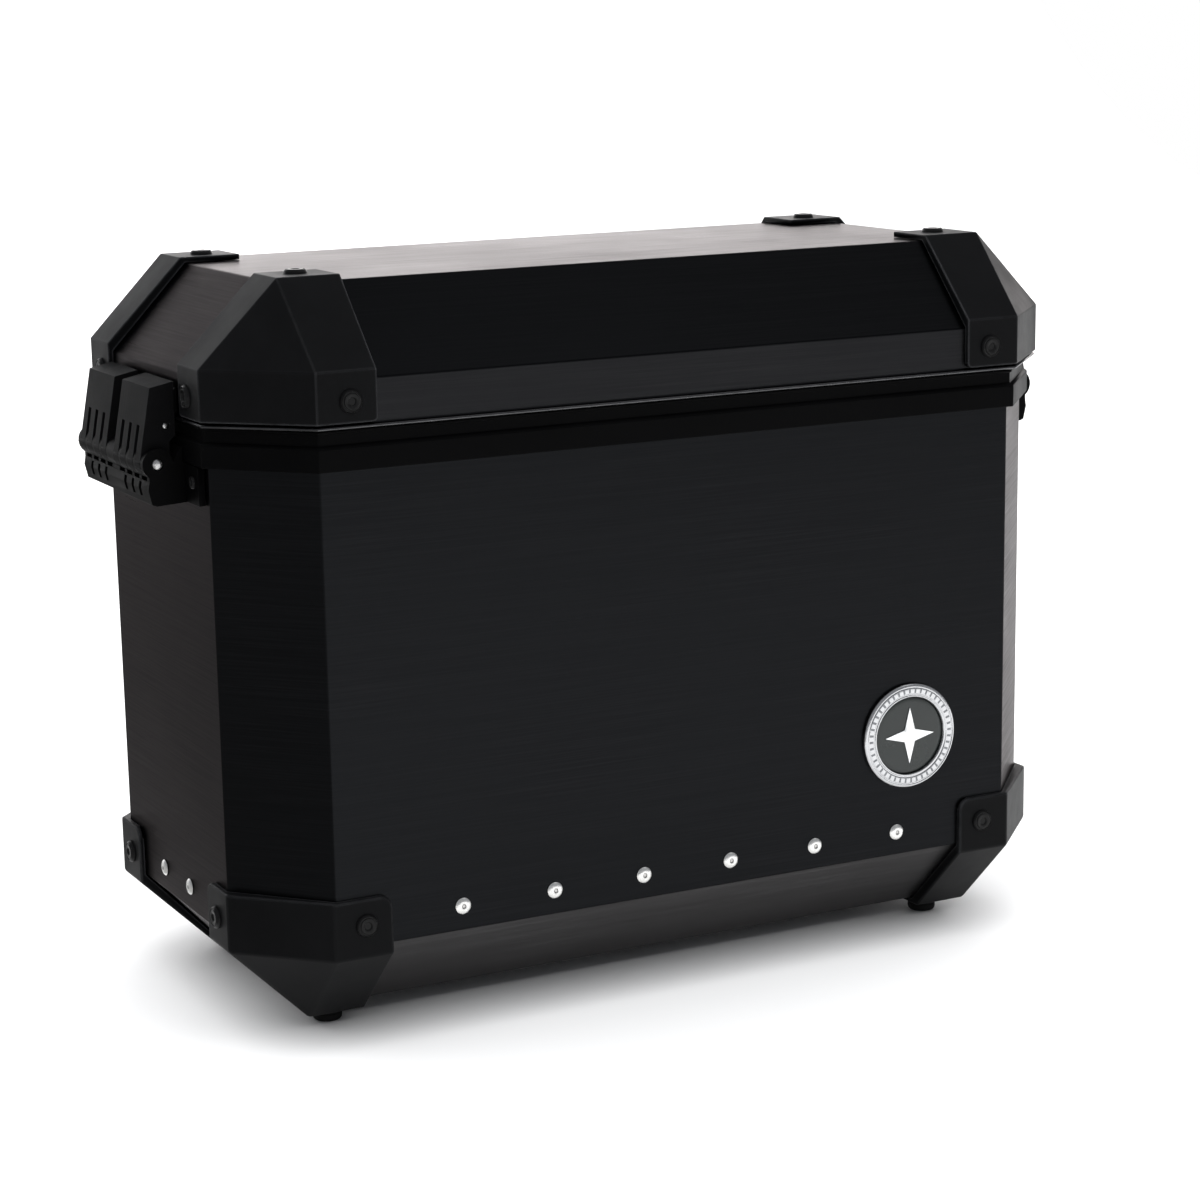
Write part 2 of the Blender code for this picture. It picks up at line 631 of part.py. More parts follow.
def base_groove():
    """Outline of the grooves down the base's front, in line with the levers' slots."""
    back = PIN_OUT + 5.2 * MM - GROOVE_DEPTH
    far = PIN_OUT + 3 * KNUCKLE
    return [(back, GROOVE_LOW), (far, GROOVE_LOW), (far, GROOVE_TOP), (back, GROOVE_TOP)]


def circle(centre, radius, steps):
    return arc(centre, radius, 0, 360 - 360 / steps, steps - 1)


def make_base(end, side, parent, mats):
    half = LEVER_SPACING / 2 + LEVER_WIDTH + GAP + BASE_CHEEK
    name = f"latch_base_{end}"
    base = end_prism(name, side, [(base_outline(), -half, half)], mats["rim"], parent)
    foot = PIN_Z - BASE_DROP
    wing = [(GAP, foot + 1.5 * MM), (RIM_THICK, foot + 1.5 * MM),
            (RIM_THICK, RIM_TOP - RIM_DEPTH - 2 * GAP), (GAP, RIM_TOP - RIM_DEPTH - 2 * GAP)]
    wings = end_prism(f"cut_{name}_wings", side, [(wing, -BASE_WING, BASE_WING)], None, parent)
    combine(base, wings, "UNION", "wings")
    rooms = []
    grooves = []
    for row in (-1, 1):
        for low, high in finger_spans(row):
            rooms.append((finger_room(), low - GAP, high + GAP))
        for low, high in slot_spans(row):
            grooves.append((base_groove(), low + GAP, high - GAP))
    tool = end_prism(f"cut_{name}_fingers", side, rooms, None, parent)
    combine(base, tool, "DIFFERENCE", "finger_rooms")
    combine(base, end_prism(f"cut_{name}_grooves", side, grooves, None, parent), "DIFFERENCE", "grooves")
    bore = [(circle(PIN_CENTRE, PIN_RADIUS + GAP, MEDIUM), -BASE_WING, BASE_WING)]
    combine(base, end_prism(f"cut_{name}_bore", side, bore, None, parent), "DIFFERENCE", "pin_bore")
    return half


def make_pin(end, side, half, parent, mats):
    ends = 0.6 * MM
    centre = (side * PIN_X, -half - ends, PIN_Z)
    frame = (centre, (1, 0, 0), (0, 0, 1), (0, 1, 0))
    length = 2 * (half + ends)
    crown = PIN_RADIUS * 0.3
    profile = [(PIN_RADIUS - crown, 0), (PIN_RADIUS, crown), (PIN_RADIUS, length - crown),
               (PIN_RADIUS - crown, length)]
    turned(f"latch_pin_{end}", profile, MEDIUM, frame, mats["steel"], parent)


def lever_outline():
    back_foot = PIN_Z + KNUCKLE + 2.2 * MM
    return (arc(PIN_CENTRE, KNUCKLE, tangent_lean(), -180, 16)
            + [(PIN_OUT - KNUCKLE, back_foot), (LEVER_BACK_OUT, back_foot + 3.0 * MM),
               (LEVER_BACK_OUT, LEVER_TOP_Z + LEVER_CROWN), (LEVER_TOP_OUT, LEVER_TOP_Z)])


def make_lever(end, side, row_name, row, parent, mats):
    name = f"lever_{end}_{row_name}"
    start = lever_start(row)
    stop = start + LEVER_WIDTH
    lever = end_prism(name, side, [(lever_outline(), start, stop)], mats["lever"], parent)
    beyond = PIN_OUT + 3 * KNUCKLE
    behind_wall = outer_face_out(POCKET_LOW) - LEVER_WALL - GAP
    slot = [(0, PIN_Z - 2 * KNUCKLE), (beyond, PIN_Z - 2 * KNUCKLE), (beyond, WINDOW_TOP),
            (behind_wall, WINDOW_TOP), (behind_wall, SLOT_TOP), (0, SLOT_TOP)]
    slots = [(slot, low, high) for low, high in slot_spans(row)]
    combine(lever, end_prism(f"cut_{name}_slots", side, slots, None, parent), "DIFFERENCE", "slots")
    pocket = [(0, POCKET_LOW), (outer_face_out(POCKET_LOW) - LEVER_WALL, POCKET_LOW),
              (outer_face_out(POCKET_TOP) - LEVER_WALL, POCKET_TOP), (0, POCKET_TOP)]
    tool = end_prism(f"cut_{name}_pocket", side, [(pocket, start + LEVER_WALL, stop - LEVER_WALL)], None, parent)
    combine(lever, tool, "DIFFERENCE", "pocket")
    bores = [(circle(PIN_CENTRE, PIN_RADIUS + GAP, MEDIUM), start - GAP, stop + GAP),
             (circle(HOOK_PIN, HOOK_PIN_RADIUS + GAP, COARSE), start - GAP, stop + GAP)]
    combine(lever, end_prism(f"cut_{name}_bores", side, bores, None, parent), "DIFFERENCE", "bores")
    place_at(lever, (side * PIN_X, 0, PIN_Z))

    middle = start + LEVER_WIDTH / 2
    hook = end_prism(f"hook_{end}_{row_name}", side,
                     [(hook_outline(), middle - HOOK_WIDTH / 2, middle + HOOK_WIDTH / 2)], mats["steel"], parent)
    bore = [(circle(HOOK_PIN, HOOK_PIN_RADIUS + GAP, COARSE), start, stop)]
    combine(hook, end_prism(f"cut_hook_{end}_{row_name}", side, bore, None, parent), "DIFFERENCE", "bore")
    place_at(hook, (side * (WALL_PLAN.half_x + HOOK_PIN_OUT), 0, HOOK_PIN[1]))

    centre = (side * (WALL_PLAN.half_x + HOOK_PIN_OUT), start + GAP, HOOK_PIN[1])
    rod = [(HOOK_PIN_RADIUS, 0), (HOOK_PIN_RADIUS, LEVER_WIDTH - 2 * GAP)]
    turned(f"hook_pin_{end}_{row_name}", rod, COARSE, (centre, (1, 0, 0), (0, 0, 1), (0, 1, 0)),
           mats["steel"], parent)


def hook_outline():
    """A round eye, a bar that rises from it, and a tip that points at the keeper."""
    out, z = HOOK_PIN
    half = HOOK_BAR / 2
    lift = math.degrees(math.acos(half / HOOK_EYE))
    keeper_face = LID_OVERHANG + GAP + KEEPER_THICK
    tip = keeper_face + 1.5 * GAP
    top = z + HOOK_LENGTH
    return (arc(HOOK_PIN, HOOK_EYE, lift, lift - 360 + 2 * (90 - lift), 14)
            + [(out - half, top - HOOK_BAR), (tip, top - HOOK_BAR), (tip, top), (out + half, top)])


def make_keeper(end, side, parent, mats):
    """Slotted plate on the lid's end band, with one window for each hook."""
    low = LID_Z + LID_GUARD_LIFT
    top = LID_Z + KEEPER_RISE
    near = LID_OVERHANG + GAP
    face = near + KEEPER_THICK
    plate = [(near, low), (face, low), (face, top - KEEPER_THICK / 2), (face - KEEPER_THICK / 2, top), (near, top)]
    keeper = end_prism(f"keeper_{end}", side, [(plate, -KEEPER_HALF, KEEPER_HALF)], mats["steel"], parent)
    tip_top = HOOK_PIN[1] + HOOK_LENGTH
    window = [(0, tip_top - HOOK_BAR - 2.2 * MM), (PIN_OUT, tip_top - HOOK_BAR - 2.2 * MM),
              (PIN_OUT, tip_top + 1.4 * MM), (0, tip_top + 1.4 * MM)]
    windows = []
    for row in (-1, 1):
        middle = lever_start(row) + LEVER_WIDTH / 2
        half = HOOK_WIDTH / 2 + 1.0 * MM
        windows.append((window, middle - half, middle + half))
    combine(keeper, end_prism(f"cut_keeper_{end}", side, windows, None, parent), "DIFFERENCE", "windows")


def make_latches(parent, mats):
    for end, side in (("left", -1), ("right", 1)):
        half = make_base(end, side, parent, mats)
        make_pin(end, side, half, parent, mats)
        make_keeper(end, side, parent, mats)
        for row_name, row in (("front", -1), ("rear", 1)):
            make_lever(end, side, row_name, row, parent, mats)


def main():
    clear_scene()
    mats = make_materials()
    middle = bpy.data.objects.new("case_middle", None)
    bpy.context.scene.collection.objects.link(middle)
    middle.location = (0, CENTRE_SHIFT, 0)
    make_body(middle, mats)
    make_rivets(middle, mats)
    make_rim(middle, mats)
    make_lid(middle, mats)
    make_guards(middle, mats)
    make_feet(middle, mats)
    make_badge(middle, mats)
    make_pucks(middle, mats)
    make_latches(middle, mats)


main()
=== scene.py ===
"""Looks for the hard motorcycle side case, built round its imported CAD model. Metres, +Z up.

The CAD pieces are shown as refined copies with small edge radii. Round hardware and the badge are
turned again with more detail, and the guards' screws are added. Every place comes from the frame.
"""

import json
import math

import bmesh
import bpy
from mathutils import Matrix, Vector

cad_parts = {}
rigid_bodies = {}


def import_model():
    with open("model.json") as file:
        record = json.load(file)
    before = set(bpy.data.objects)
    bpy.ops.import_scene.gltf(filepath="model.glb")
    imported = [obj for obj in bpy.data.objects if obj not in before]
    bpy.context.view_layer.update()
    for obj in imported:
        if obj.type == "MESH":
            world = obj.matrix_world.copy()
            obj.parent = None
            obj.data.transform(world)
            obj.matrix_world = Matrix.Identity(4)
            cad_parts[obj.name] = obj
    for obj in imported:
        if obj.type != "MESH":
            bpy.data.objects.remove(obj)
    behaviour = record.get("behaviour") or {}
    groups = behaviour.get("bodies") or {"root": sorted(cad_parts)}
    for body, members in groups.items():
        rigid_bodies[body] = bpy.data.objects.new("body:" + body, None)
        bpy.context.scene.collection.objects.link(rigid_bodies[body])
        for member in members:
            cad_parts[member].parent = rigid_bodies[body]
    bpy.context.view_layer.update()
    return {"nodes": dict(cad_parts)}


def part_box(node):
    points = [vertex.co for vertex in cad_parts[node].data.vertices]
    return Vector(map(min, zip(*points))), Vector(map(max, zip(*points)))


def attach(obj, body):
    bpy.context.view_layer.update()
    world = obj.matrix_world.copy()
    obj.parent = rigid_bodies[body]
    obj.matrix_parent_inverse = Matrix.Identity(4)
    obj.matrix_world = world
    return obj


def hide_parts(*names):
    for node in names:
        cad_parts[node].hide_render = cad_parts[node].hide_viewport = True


MM = 0.001

# Camera, fitted to the view that the case is shown in
CAMERA_AZIMUTH = math.radians(26.28)
CAMERA_ELEVATION = math.radians(12.408)
CAMERA_ROLL = math.radians(-1.2)
CAMERA_FROM_CASE = Vector((-0.6885, -1.3560, 0.5018))
CAMERA_LENS = 87.0
CAMERA_SHIFT = (0.0437, 0.0257)

# Edge radii of the refined copies, and the shortest edge that is rounded
FOLD_RADIUS = 0.9 * MM
MOULD_RADIUS = 0.55 * MM
STAMP_RADIUS = 0.25 * MM
SHORTEST_EDGE = 4.0 * MM
ROUND_ANGLE = math.radians(25)
SHARP_ANGLE = math.radians(38)
FLAT_ANGLE = math.radians(0.5)
HEM_HIGHLIGHT_HEIGHT = 2.0 * MM               # the lid's lower edge, up to here, gets paler metal: a painted highlight for the line of light along it
HEM_HIGHLIGHT_TILT = 0.9                      # steepest normal.z of a face on that edge
LIT_BAND_TILT = 0.3                     # and of a face on the lid's upright band, which gets a lighter copy of the sheet as painted sheen

# Screws in the guards and the latch bases
SCREW_RADIUS = 5.7 * MM
SCREW_HEIGHT = 2.0 * MM
SCREW_SEGMENTS = 48
LID_SCREW_RISE = 10.4 * MM          # above a lid guard's lower edge
LID_SCREW_INSET = (13.5 * MM, 11.2 * MM)   # from the guard's free edges, along X and along Y
LID_TOP_SCREW_INSET = (16.0 * MM, 13.0 * MM)
BASE_SCREW_DROP = (13.2 * MM, 15.2 * MM)   # below a lower guard's top edge, on its X-Z and Y-Z faces
BASE_SCREW_INSET = (14.0 * MM, 13.0 * MM)
WING_SCREW_INSET = 8.0 * MM
WING_SCREW_SCALE = 0.55

WING_THICK = 3.2 * MM               # the latch base's plate, which the wing screws go through
WING_SCREW_DROP = 2.0 * MM          # below the middle of the latch base
# The head's outline as shares of its radius and height
SCREW_OUTLINE = ((0.3, 0.6), (0.36, 0.9), (0.42, 1.0), (0.66, 0.97), (0.72, 0.72), (0.8, 0.72),
                 (0.86, 0.9), (0.96, 0.6), (1.0, 0.25), (1.0, -0.25))

# Outlines of the turned pieces: (radius, height) in millimetres, with the outer face at height 0
PINHOLE = 0.0001                    # radius that closes an outline on its axis
RIVET_HEAD = ((PINHOLE, -0.45), (0.8, -0.45), (0.95, -0.75), (1.15, -0.2), (1.5, 0), (2.4, -0.1),
              (3.2, -0.38), (3.8, -0.75), (4.15, -1.15), (4.15, -1.3), (1.9, -1.3))
RIVET_TAIL = ((1.9, 3.0), (2.8, 2.9), (2.8, 1.4), (1.3, 0))        # heights from the inner end
MANDREL_BANDS = (0, 1, 2)           # bands of the rivet's head that belong to the mandrel
FOOT_RADIUS = 7.5
FOOT_OUTLINE = ((2.0, -1.6), (2.4, -0.1), (2.9, 0), (5.6, 0), (6.6, -0.3), (7.2, -1.0),
                (FOOT_RADIUS, -2.2), (FOOT_RADIUS, -3.6), (7.1, -4.0), (7.1, -4.4), (FOOT_RADIUS, -4.8))
PUCK_OUTLINE = ((2.6, -3.0), (2.9, -0.9), (5.4, -0.9), (5.9, -0.1), (6.4, 0), (11.7, 0), (13.0, -0.6),
                (13.5, -1.4), (13.5, -3.0), (13.2, -3.25), (10.4, -3.3), (10.0, -3.9), (10.0, -9.1),
                (10.4, -9.7), (14.6, -9.8), (15.0, -10.2), (15.0, -13.0))
RING_OUTLINE = ((28.0, -2.4), (28.0, -1.3), (27.7, -0.6), (27.1, -0.2), (26.6, -0.1), (26.3, -0.5),
                (25.9, -0.5), (25.6, -0.15), (25.2, -0.05), (23.0, -0.05), (22.6, -0.15), (22.3, -0.5),
                (21.9, -0.5), (21.6, -0.05), (21.1, 0), (20.7, -0.5), (20.6, -2.4))
DISC_RADIUS = 20.3
DISC_OUTLINE = ((0.01, 0.1), (17.5, 0.1), (19.2, 0.0), (20.2, -0.2))
PIN_DOME_ANGLES = (1, 20, 40, 60, 78, 90)
PIN_DOME_RISE = 0.3                 # of the pin's radius
RIVET_SEGMENTS, PIN_SEGMENTS, FOOT_SEGMENTS, PUCK_SEGMENTS, BADGE_SEGMENTS = 36, 32, 48, 64, 120

# Badge: marks across the ring's face, and the star
BADGE_TICKS = 44
TICK_MIDDLE = 24.2 * MM
TICK_HALF = 1.15 * MM
TICK_SHARE = 0.32                   # of the way from one tick to the next
STAR_POINTS = 4
STAR_WAIST = 0.3                    # of the star's reach
STAR_SHOULDER = (0.97, 0.55)        # of its outline, and of its thickness
STAR_PEAK = 0.5 * MM

# Edges of mouldings, as painted highlights along folds (first) and as edge wear (second): reach, and the
# range of the noise that breaks them up
PAINTED_EDGE_HIGHLIGHT = (1.5 * MM, 0.15, 0.5)
WORN_EDGE = (0.9 * MM, 0.35, 0.65)

# Studio, in metres
FLOOR_SIDE, FLOOR_FRONT, FLOOR_BACK, FLOOR_BEND, FLOOR_TOP = 3.4, -3.4, 3.2, 1.5, 6.0
FLOOR_STEPS = 12
MAT_GREY = 0.45
MAT_WIDTH, MAT_DEPTH = 2.2, 3.8
MAT_PLACE = (-0.275, 0.4, 2 * MM)   # the middle of the mat's right edge
ROOM_STRENGTH = 0.36
AIM_HEIGHT = 0.2
# Name, place, size, power, colour, and whether reflections show it
LIGHTS = (("overhead", (0, 0, 4.5), (12, 12), 950, (1, 1, 1), False),
          ("backdrop", (2.3, 3.0, 0.85), (4.6, 1.1), 35, (1.0, 0.95, 0.94), True),
          ("top_card", (1.7, -1.1, 3.3), (0.7, 1.6), 3.5, (1, 1, 1), True))

ENDS = (("left", -1), ("right", 1))
ROWS = (("front", -1), ("rear", 1))
CORNERS = [(f"{row}_{end}", x, y) for row, y in ROWS for end, x in ENDS]


# Materials -------------------------------------------------------------------------------------

class Recipe:
    """A node material under construction: its tree, its shader and the nodes that feed them."""

    def __init__(self, name, colour, roughness, metallic=0.0, specular=0.5):
        self.material = bpy.data.materials.new(name)
        self.material.use_nodes = True
        self.tree = self.material.node_tree
        self.shader = self.tree.nodes["Principled BSDF"]
        self.shader.inputs["Base Color"].default_value = (*colour, 1.0)
        self.shader.inputs["Roughness"].default_value = roughness
        self.shader.inputs["Metallic"].default_value = metallic
        self.shader.inputs["Specular IOR Level"].default_value = specular
        self.coordinates = self.tree.nodes.new("ShaderNodeTexCoord")

    def link(self, output, target):
        """Joins an output socket to an input socket."""
        self.tree.links.new(output, target)

    def noise(self, scale, detail=3.0, rough=0.55, stretch=(1, 1, 1)):
        """A noise value in the piece's own metres, squeezed or drawn out along an axis."""
        mapping = self.tree.nodes.new("ShaderNodeMapping")
        mapping.inputs["Scale"].default_value = stretch
        self.link(self.coordinates.outputs["Object"], mapping.inputs["Vector"])
        node = self.tree.nodes.new("ShaderNodeTexNoise")
        node.inputs["Scale"].default_value = scale
        node.inputs["Detail"].default_value = detail
        node.inputs["Roughness"].default_value = rough
        self.link(mapping.outputs["Vector"], node.inputs["Vector"])
        return node.outputs["Fac"]

    def math(self, operation, first, second=None, clamp=False):
        """A sum or comparison of numbers or sockets."""
        node = self.tree.nodes.new("ShaderNodeMath")
        node.operation = operation
        node.use_clamp = clamp
        for socket, value in zip(node.inputs, (first, second)):
            if value is None:
                continue
            if isinstance(value, (int, float)):
                socket.default_value = value
            else:
                self.link(value, socket)
        return node.outputs["Value"]

    def spread(self, value, low, high, out_low, out_high):
        """Maps a value's range onto another one."""
        node = self.tree.nodes.new("ShaderNodeMapRange")
        settings = (low, high, out_low, out_high)
        for name, number in zip(("From Min", "From Max", "To Min", "To Max"), settings):
            node.inputs[name].default_value = number
        self.link(value, node.inputs["Value"])
        return node.outputs["Result"]

    def mix(self, factor, first, second):
        """Mixes two colours, given as tuples or as sockets."""
        node = self.tree.nodes.new("ShaderNodeMix")
        node.data_type = "RGBA"
        self.link(factor, node.inputs["Factor"])
        sockets = [item for item in node.inputs if item.type == "RGBA"]
        for socket, colour in zip(sockets, (first, second)):
            if isinstance(colour, tuple):
                socket.default_value = (*colour, 1.0)
            else:
                self.link(colour, socket)
        return [item for item in node.outputs if item.type == "RGBA"][0]

    def bump(self, height, distance, strength=1.0):
        """Roughens the surface by a height value."""
        node = self.tree.nodes.new("ShaderNodeBump")
        node.inputs["Strength"].default_value = strength
        node.inputs["Distance"].default_value = distance
        self.link(height, node.inputs["Height"])
        self.link(node.outputs["Normal"], self.shader.inputs["Normal"])

    def edge_wear_and_highlight_mask(self, reach, low, high):
        """1 on sharp outer edges and 0 on flats, broken up by noise: the mask for edge wear and for painted
        edge highlights.
        """
        rounded = self.tree.nodes.new("ShaderNodeBevel")
        rounded.samples = 4
        rounded.inputs["Radius"].default_value = reach
        plain = self.tree.nodes.new("ShaderNodeNewGeometry")
        product = self.tree.nodes.new("ShaderNodeVectorMath")
        product.operation = "DOT_PRODUCT"
        self.link(rounded.outputs["Normal"], product.inputs[0])
        self.link(plain.outputs["Normal"], product.inputs[1])
        edge = self.spread(product.outputs["Value"], 0.995, 0.93, 0.0, 1.0)
        patches = self.spread(self.noise(160, 4), low, high, 0.0, 1.0)
        return self.math("MULTIPLY", edge, patches, clamp=True)


def brushed_sheet(name, dark, light, roughness, edge_tint=(0.62, 0.6, 0.6)):
    """Anodised sheet with fine lines along its length on every face, and faint clouds."""
    made = Recipe(name, dark, roughness, metallic=1.0)
    made.shader.inputs["Specular Tint"].default_value = (*edge_tint, 1.0)
    upright = made.noise(1.0, 4, 0.7, stretch=(14, 14, 1300))
    level = made.noise(1.0, 4, 0.7, stretch=(14, 1300, 14))
    normal = made.tree.nodes.new("ShaderNodeSeparateXYZ")
    made.link(made.coordinates.outputs["Normal"], normal.inputs["Vector"])
    facing_up = made.spread(made.math("ABSOLUTE", normal.outputs["Z"]), 0.9, 0.95, 0.0, 1.0)
    facing_side = made.math("SUBTRACT", 1.0, facing_up)
    lines = made.math("ADD", made.math("MULTIPLY", level, facing_up),
                      made.math("MULTIPLY", upright, facing_side))
    clouds = made.noise(9.0, 3, 0.6, stretch=(1, 1, 1.6))
    amount = made.math("MULTIPLY", made.spread(lines, 0.42, 0.72, 0.0, 1.0),
                       made.spread(clouds, 0.3, 0.7, 0.35, 1.0))
    made.link(made.mix(amount, dark, light), made.shader.inputs["Base Color"])
    rough = made.math("ADD", made.spread(lines, 0.3, 0.7, roughness - 0.05, roughness + 0.07),
                      made.spread(clouds, 0.3, 0.7, -0.03, 0.03))
    made.link(rough, made.shader.inputs["Roughness"])
    made.bump(lines, 0.03 * MM, 0.5)
    return made.material


def moulded_plastic(name, colour, worn, roughness, grain=1100, depth=0.05, specular=0.5, streaks=None,
                    edge_highlight=None):
    """Satin plastic with a fine leathery grain and slight scuffs.

    Where an edge_highlight colour is given, the edges take it as a painted highlight along the folds;
    otherwise they take the worn colour as edge wear.
    """
    made = Recipe(name, colour, roughness, specular=specular)
    fine = made.noise(grain, 2, 0.5)
    scuffs = made.noise(22, 5, 0.65)
    edge = made.edge_wear_and_highlight_mask(*(PAINTED_EDGE_HIGHLIGHT if edge_highlight else WORN_EDGE))
    patchy = made.spread(scuffs, 0.35, 0.7, 0.85, 1.25)
    tint = made.math("MULTIPLY", patchy, 0.5)
    base = made.mix(made.spread(tint, 0.4, 0.65, 0.0, 0.35), colour, worn)
    # Edges lightened: a painted highlight along folds where edge_highlight is given, edge wear otherwise.
    colours = made.mix(made.math("MULTIPLY", edge, 0.6), base, edge_highlight or worn)
    made.link(colours, made.shader.inputs["Base Color"])
    rough = made.spread(scuffs, 0.3, 0.7, roughness - 0.06, roughness + 0.08)
    made.link(rough, made.shader.inputs["Roughness"])
    height = fine
    if streaks is not None:
        grooves = made.noise(1.0, 3, 0.6, stretch=streaks)
        height = made.math("ADD", fine, made.math("MULTIPLY", grooves, 1.6))
    made.bump(height, depth * MM, 0.6)
    return made.material


def bright_metal(name, colour, dull, roughness, stretch=(1, 1, 1), scale=500):
    """Plated or polished metal with fine scratches and duller patches."""
    made = Recipe(name, colour, roughness, metallic=1.0)
    scratches = made.noise(scale, 3, 0.6, stretch=stretch)
    patches = made.noise(120, 4, 0.6)
    colours = made.mix(made.spread(patches, 0.35, 0.75, 0.0, 0.7), colour, dull)
    made.link(colours, made.shader.inputs["Base Color"])
    rough = made.spread(scratches, 0.3, 0.7, roughness - 0.07, roughness + 0.1)
    made.link(rough, made.shader.inputs["Roughness"])
    made.bump(scratches, 0.012 * MM, 0.4)
    return made.material


def badge_metal(name, colour, tick, roughness):
    """The badge's ring: polished, with a row of short radial marks round the middle of its face."""
    made = Recipe(name, colour, roughness, metallic=1.0)
    split = made.tree.nodes.new("ShaderNodeSeparateXYZ")
    made.link(made.coordinates.outputs["Object"], split.inputs["Vector"])
    turn = made.math("ARCTAN2", split.outputs["Z"], split.outputs["X"])
    phase = made.math("FRACT", made.math("MULTIPLY", turn, BADGE_TICKS / math.tau))
    radius = made.math("SQRT", made.math("ADD", made.math("POWER", split.outputs["X"], 2.0),
                                         made.math("POWER", split.outputs["Z"], 2.0)))
    middle = made.math("COMPARE", radius, TICK_MIDDLE)
    middle.node.inputs[2].default_value = TICK_HALF
    marks = made.math("MULTIPLY", made.math("LESS_THAN", phase, TICK_SHARE), middle)
    fine = made.noise(700, 3, 0.6)
    made.link(made.mix(made.math("MULTIPLY", marks, 0.8), colour, tick), made.shader.inputs["Base Color"])
    made.link(made.math("ADD", made.spread(fine, 0.3, 0.7, roughness - 0.06, roughness + 0.08),
                        made.math("MULTIPLY", marks, 0.25)), made.shader.inputs["Roughness"])
    made.bump(made.math("SUBTRACT", made.math("MULTIPLY", fine, 0.15), marks), 0.1 * MM, 0.5)
    return made.material


def pale_floor():
    """Matt off-white with very faint clouds."""
    dull, bright = (0.9, 0.9, 0.9), (0.93, 0.93, 0.93)
    made = Recipe("pale_floor", dull, 0.8, specular=0.1)
    made.link(made.mix(made.noise(2.5, 4), dull, bright), made.shader.inputs["Base Color"])
    return made.material


def make_materials():
    """Every finish, with its darker and lighter colour and its roughness."""
    return {
        "sheet": brushed_sheet("black_brushed_sheet", (0.0102, 0.0107, 0.0116), (0.0158, 0.0163, 0.0176),
                               0.33),
        # A lighter copy of the sheet for the lid's upright band: painted sheen, as that face catches more
        # light.
        "band": brushed_sheet("black_band_painted_sheen", (0.019, 0.0192, 0.0205), (0.031, 0.0315, 0.033), 0.38),
        # Paler metal for the lid's lower edge: a painted highlight standing in for the thin line of light
        # along it.
        "hem_highlight": bright_metal("hem_painted_highlight", (0.1, 0.1, 0.104), (0.05, 0.05, 0.05), 0.3),
        # Paler than the walls' sheet: the extra lightness is a painted reflection of the floor on the pan's
        # lower slopes.
        "pan": brushed_sheet("pan_sheet_painted_reflection", (0.075, 0.075, 0.076), (0.12, 0.12, 0.121), 0.4),
        # The guards' edges are lightened as a painted highlight along their folds.
        "guard": moulded_plastic("guard_moulding", (0.0024, 0.0025, 0.0028), (0.007, 0.0072, 0.0078), 0.45,
                                 specular=0.065, edge_highlight=(0.055, 0.056, 0.06)),
        "rim": moulded_plastic("rim_moulding", (0.0008, 0.0008, 0.0009), (0.0028, 0.0028, 0.003), 0.44,
                               specular=0.035),
        "lever": moulded_plastic("lever_moulding", (0.0024, 0.0024, 0.0026), (0.009, 0.009, 0.0096), 0.46,
                                 specular=0.02, streaks=(20, 620, 20)),
        "screw": moulded_plastic("black_screw", (0.002, 0.002, 0.0022), (0.014, 0.014, 0.014), 0.3,
                                 grain=900, specular=0.16),
        "rubber": moulded_plastic("soft_rubber", (0.004, 0.004, 0.004), (0.01, 0.01, 0.01), 0.75,
                                  grain=700, depth=0.1, specular=0.2),
        "rivet": bright_metal("rivet_bright", (0.95, 0.95, 0.93), (0.75, 0.74, 0.71), 0.34),
        "mandrel": bright_metal("rivet_mandrel", (0.62, 0.61, 0.6), (0.42, 0.41, 0.39), 0.4),
        "dark_steel": bright_metal("dark_plate", (0.03, 0.03, 0.031), (0.015, 0.015, 0.015), 0.42),
        "steel": bright_metal("plated_steel", (0.62, 0.62, 0.62), (0.4, 0.39, 0.37), 0.3,
                              stretch=(1, 0.1, 1)),
        "ring": badge_metal("badge_polished", (0.56, 0.565, 0.575), (0.16, 0.17, 0.18), 0.2),
        "disc": moulded_plastic("badge_enamel", (0.008, 0.0122, 0.0112), (0.018, 0.023, 0.022), 0.25,
                                grain=500, depth=0.02),
        "emblem": bright_metal("emblem_polished", (0.88, 0.89, 0.9), (0.7, 0.71, 0.72), 0.2),
    }


# Piece building --------------------------------------------------------------------------------

def finish_piece(name, shape, materials, body, at=Vector(), replaces=()):
    """Makes a bmesh into a smooth-shaded piece that rides on a body."""
    mesh = bpy.data.meshes.new(name)
    shape.to_mesh(mesh)
    shape.free()
    mesh.shade_smooth()
    mesh.set_sharp_from_angle(angle=SHARP_ANGLE)
    for item in materials:
        mesh.materials.append(item)
    piece = bpy.data.objects.new(name, mesh)
    piece.location = at
    bpy.context.scene.collection.objects.link(piece)
    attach(piece, body)
    if replaces:
        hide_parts(*replaces)
    return piece


